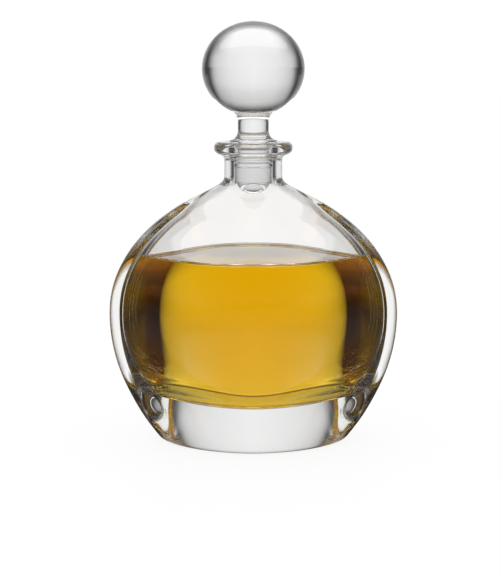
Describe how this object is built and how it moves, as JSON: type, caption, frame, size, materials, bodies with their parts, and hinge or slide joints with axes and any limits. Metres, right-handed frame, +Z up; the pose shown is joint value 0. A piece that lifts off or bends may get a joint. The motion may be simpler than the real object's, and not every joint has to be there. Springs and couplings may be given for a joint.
{
  "type": "glass decanter",
  "caption": "Thick clear glass decanter with a pointed-oval body, heavy base, round neck and lip, and a ball stopper in a clear sleeve, part filled with an amber spirit.",
  "frame": {"origin": "centre of the flat foot, on the surface that the decanter stands on", "axes": "+Z up along the neck's axis, +X towards one side rim, -Y towards the front face"},
  "size_m": [0.141, 0.1132, 0.2039],
  "materials": {
    "bottle_glass": "clear thick glass, fire polished",
    "amber_spirit": "clear amber liquid",
    "stopper_glass": "clear solid glass, polished",
    "clear_plastic": "clear soft plastic"
  },
  "bodies": {
    "vessel": {"bottle": "bottle_glass", "liquid": "amber_spirit"},
    "seal": {"stopper_seal": "clear_plastic"},
    "stopper": {"stopper": "stopper_glass"}
  },
  "joints": [
    {"name": "stopper_lift", "type": "slide", "parent": "vessel", "child": "seal", "axis": [0, 0, 1], "range_m": [0, 0.06]},
    {"name": "stopper_turn", "type": "hinge", "parent": "seal", "child": "stopper", "pos_m": [0, 0, 0.1458], "axis": [0, 0, 1], "continuous": true}
  ]
}
